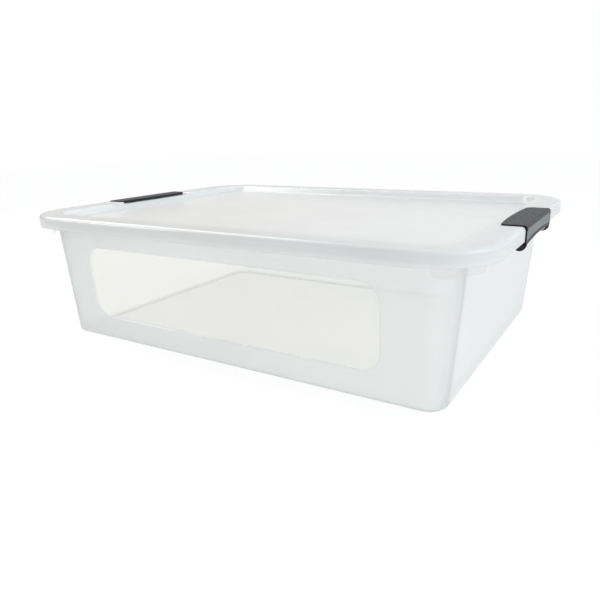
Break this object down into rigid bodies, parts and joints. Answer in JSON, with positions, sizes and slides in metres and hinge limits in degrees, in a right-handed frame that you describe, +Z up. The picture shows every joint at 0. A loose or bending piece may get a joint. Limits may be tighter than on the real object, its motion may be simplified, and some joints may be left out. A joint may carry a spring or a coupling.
{
  "type": "lidded storage crate",
  "caption": "Shallow clear plastic storage crate with leaning walls, a lift-off lid with a stacking recess, and a dark grey hinged latch at each end.",
  "frame": {"origin": "centre of the foot, on the surface that the crate stands on", "axes": "+X along the crate's length towards one latch, +Y across its width, +Z up"},
  "size_m": [0.582, 0.416, 0.156],
  "materials": {
    "clear_tub_plastic": "natural clear polypropylene, fine frosted texture with polished windows",
    "clear_lid_plastic": "natural clear polypropylene, fine frosted texture",
    "dark_grey_plastic": "dark grey moulded plastic, fine satin grain"
  },
  "bodies": {
    "tub_body": {"tub": "clear_tub_plastic"},
    "lid_body": {"lid": "clear_lid_plastic"},
    "latch_right_body": {"latch_right": "dark_grey_plastic"},
    "latch_left_body": {"latch_left": "dark_grey_plastic"}
  },
  "joints": [
    {"name": "lid_lift", "type": "slide", "parent": "tub_body", "child": "lid_body", "axis": [0, 0, 1], "range_m": [0, 0.015]},
    {"name": "latch_right_hinge", "type": "hinge", "parent": "tub_body", "child": "latch_right_body", "pos_m": [0.2843, 0, 0.136], "axis": [0, 1, 0], "range_deg": [0, 150]},
    {"name": "latch_left_hinge", "type": "hinge", "parent": "tub_body", "child": "latch_left_body", "pos_m": [-0.2843, 0, 0.136], "axis": [0, -1, 0], "range_deg": [0, 150]}
  ],
  "couplings": [
    {"joint": "latch_right_hinge", "follows": "lid_lift", "rad_per_m": 174.53},
    {"joint": "latch_left_hinge", "follows": "lid_lift", "rad_per_m": 174.53}
  ]
}
